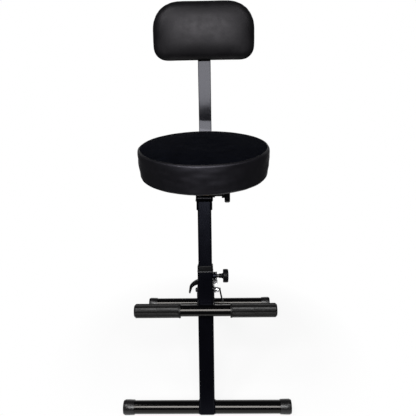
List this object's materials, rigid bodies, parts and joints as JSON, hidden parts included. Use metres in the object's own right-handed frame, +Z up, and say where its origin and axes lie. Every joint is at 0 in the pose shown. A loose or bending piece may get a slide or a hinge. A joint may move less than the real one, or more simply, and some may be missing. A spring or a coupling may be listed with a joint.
{
  "type": "folding musician chair",
  "caption": "Folding musician's stool: leaning telescopic post on a folding base, round padded seat, footrest with rubber grips, padded backrest on a sliding bent bar.",
  "frame": {"origin": "on the floor, in the middle of the base between the front and rear foot bars", "axes": "+Z up, the sitter faces -Y, +X is to the right when looking at the chair's front"},
  "size_m": [0.446, 0.5405, 1.028],
  "materials": {
    "black_powder_coat": "smooth black powder coat, semi-gloss",
    "black_gloss_steel": "glossy black paint on flat steel",
    "zinc_plate": "bright zinc plating",
    "black_oxide": "black oxide steel, satin",
    "black_plastic": "moulded black plastic, satin",
    "rubber": "moulded black rubber",
    "grip_rubber": "fluted dark grey rubber",
    "velour": "matte black velour",
    "vinyl": "black grained vinyl, satin",
    "plywood": "plain plywood"
  },
  "bodies": {
    "front_frame": {"front_leg_tube": "black_powder_coat", "front_foot_bar": "black_powder_coat", "front_foot_cap_left": "rubber", "front_foot_cap_right": "rubber", "height_bush": "black_plastic", "height_pin_boss": "black_powder_coat", "height_pin_barrel": "black_oxide", "height_pin_locknut": "black_oxide", "clamp_lug_left": "black_powder_coat", "clamp_lug_right": "black_powder_coat", "clamp_skewer": "zinc_plate", "clamp_washer": "black_plastic", "clamp_nut": "zinc_plate", "hinge_cheek_left": "black_powder_coat", "hinge_cheek_right": "black_powder_coat", "leg_stop": "black_oxide", "pivot_bolt": "black_oxide", "pivot_dome_nut": "black_oxide", "pivot_washer": "black_oxide", "footrest_bar": "black_powder_coat", "footrest_saddle": "black_powder_coat", "footrest_grip_left": "grip_rubber", "footrest_grip_right": "grip_rubber"},
    "rear_leg": {"rear_leg_tube": "black_powder_coat", "rear_leg_plug": "black_plastic", "pivot_bush_left": "black_plastic", "pivot_bush_right": "black_plastic", "rear_foot_bar": "black_powder_coat", "rear_foot_cap_left": "rubber", "rear_foot_cap_right": "rubber"},
    "seat_carrier": {"seat_post": "black_powder_coat", "post_shoe": "black_plastic", "post_socket": "black_powder_coat", "seat_bracket": "black_powder_coat", "star_weld_nut": "zinc_plate", "seat_plate": "black_powder_coat", "seat_board": "plywood", "seat_screw_1": "zinc_plate", "seat_screw_2": "zinc_plate", "seat_screw_3": "zinc_plate", "seat_screw_4": "zinc_plate", "seat_cushion": "velour", "seat_band": "vinyl"},
    "back_carrier": {"back_bar": "black_gloss_steel", "back_board": "plywood", "back_pad": "vinyl", "back_bolt_lower": "zinc_plate", "back_bolt_upper": "zinc_plate"},
    "height_knob": {"height_pin": "zinc_plate", "height_pin_knob": "black_plastic"},
    "height_lever": {"clamp_lever": "black_plastic"},
    "fold_handle": {"fold_clamp_nut": "zinc_plate", "fold_lever": "black_powder_coat"},
    "back_knob": {"star_stud": "zinc_plate", "star_knob": "black_plastic"}
  },
  "joints": [
    {"name": "rear_leg_fold", "type": "hinge", "parent": "front_frame", "child": "rear_leg", "pos_m": [0, -0.11313, 0.29795], "axis": [-1, 0, 0], "range_deg": [0, 70]},
    {"name": "seat_height_slide", "type": "slide", "parent": "front_frame", "child": "seat_carrier", "axis": [0, 0.3029, 0.953], "range_m": [-0.1, 0.05]},
    {"name": "back_bar_slide", "type": "slide", "parent": "seat_carrier", "child": "back_carrier", "axis": [0, 1, 0], "range_m": [-0.025, 0.025]},
    {"name": "height_knob_pull", "type": "slide", "parent": "front_frame", "child": "height_knob", "axis": [1, 0, 0], "range_m": [-0.005, 0.004], "stiffness_N_per_m": 1500, "springref_m": -0.005},
    {"name": "height_lever_flip", "type": "hinge", "parent": "front_frame", "child": "height_lever", "pos_m": [-0.0202, -0.11971, 0.3268], "axis": [0, 0.953, -0.3029], "range_deg": [0, 90]},
    {"name": "fold_handle_turn", "type": "hinge", "parent": "front_frame", "child": "fold_handle", "pos_m": [0, -0.11313, 0.29795], "axis": [1, 0, 0], "range_deg": [0, 110]},
    {"name": "back_knob_turn", "type": "hinge", "parent": "seat_carrier", "child": "back_knob", "pos_m": [0, -0.07402, 0.5578], "axis": [1, 0, 0], "range_deg": [0, 360]}
  ]
}
